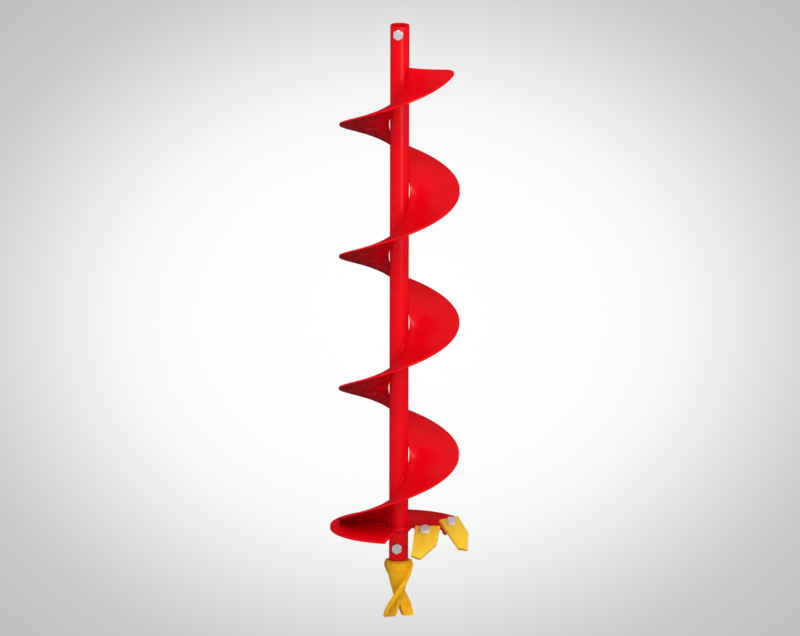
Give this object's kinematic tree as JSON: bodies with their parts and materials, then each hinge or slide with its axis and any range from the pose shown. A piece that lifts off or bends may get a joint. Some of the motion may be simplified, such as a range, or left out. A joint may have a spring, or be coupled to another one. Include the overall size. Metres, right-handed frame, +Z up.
{
  "type": "soil auger",
  "caption": "Soil auger bit: tube shaft with a helical flight, a head disc with bolted cutting blades and a twisted fishtail pilot point; hangs from a drill spindle.",
  "frame": {"origin": "centre of the drive socket's mouth, at the top end of the tube", "axes": "+Z up along the shaft, out of the drive socket; -Y to the front, where the heads of the cross bolts are"},
  "size_m": [0.194, 0.1918, 0.8513],
  "materials": {
    "red_enamel": "gloss red enamel over welded steel",
    "yellow_enamel": "satin yellow enamel on hardened steel",
    "zinc_steel": "bright zinc plated fasteners"
  },
  "bodies": {
    "auger": {"shaft_tube_lower": "red_enamel", "shaft_tube_upper": "red_enamel", "shaft_tube_socket": "red_enamel", "flight_low_section": "red_enamel", "flight_turn_1": "red_enamel", "flight_turn_2": "red_enamel", "flight_turn_3": "red_enamel", "stitch_weld_1": "red_enamel", "stitch_weld_2": "red_enamel", "stitch_weld_3": "red_enamel", "stitch_weld_4": "red_enamel", "stitch_weld_5": "red_enamel", "stitch_weld_6": "red_enamel", "stitch_weld_7": "red_enamel", "head_disc": "red_enamel", "disc_ring_weld": "red_enamel", "landing_weld": "red_enamel", "pilot_point": "yellow_enamel", "inner_blade_bolt": "zinc_steel", "inner_blade_washer": "zinc_steel", "inner_blade_nut": "zinc_steel", "outer_blade_bolt": "zinc_steel", "outer_blade_washer": "zinc_steel", "outer_blade_nut": "zinc_steel"},
    "inner_blade": {"inner_blade": "yellow_enamel"},
    "outer_blade": {"outer_blade": "yellow_enamel"},
    "drive_bolt": {"drive_bolt": "zinc_steel"},
    "drive_nut": {"drive_nut": "zinc_steel", "drive_washer": "zinc_steel"},
    "pilot_bolt": {"pilot_bolt": "zinc_steel"},
    "pilot_nut": {"pilot_nut": "zinc_steel", "pilot_washer": "zinc_steel"}
  },
  "joints": [
    {"name": "inner_blade_swivel", "type": "hinge", "parent": "auger", "child": "inner_blade", "pos_m": [0.03985, -0.01698, -0.72653], "axis": [0.0778, -0.5538, 0.829], "range_deg": [-20, 20]},
    {"name": "outer_blade_swivel", "type": "hinge", "parent": "auger", "child": "outer_blade", "pos_m": [0.06675, 0.03415, -0.72653], "axis": [0.4346, -0.3519, 0.829], "range_deg": [-20, 20]},
    {"name": "drive_bolt_slide", "type": "slide", "parent": "auger", "child": "drive_bolt", "axis": [0, -1, 0], "range_m": [0, 0.045]},
    {"name": "drive_nut_slide", "type": "slide", "parent": "auger", "child": "drive_nut", "axis": [0, 1, 0], "range_m": [0, 0.015]},
    {"name": "pilot_bolt_slide", "type": "slide", "parent": "auger", "child": "pilot_bolt", "axis": [0, -1, 0], "range_m": [0, 0.045]},
    {"name": "pilot_nut_slide", "type": "slide", "parent": "auger", "child": "pilot_nut", "axis": [0, 1, 0], "range_m": [0, 0.015]}
  ]
}
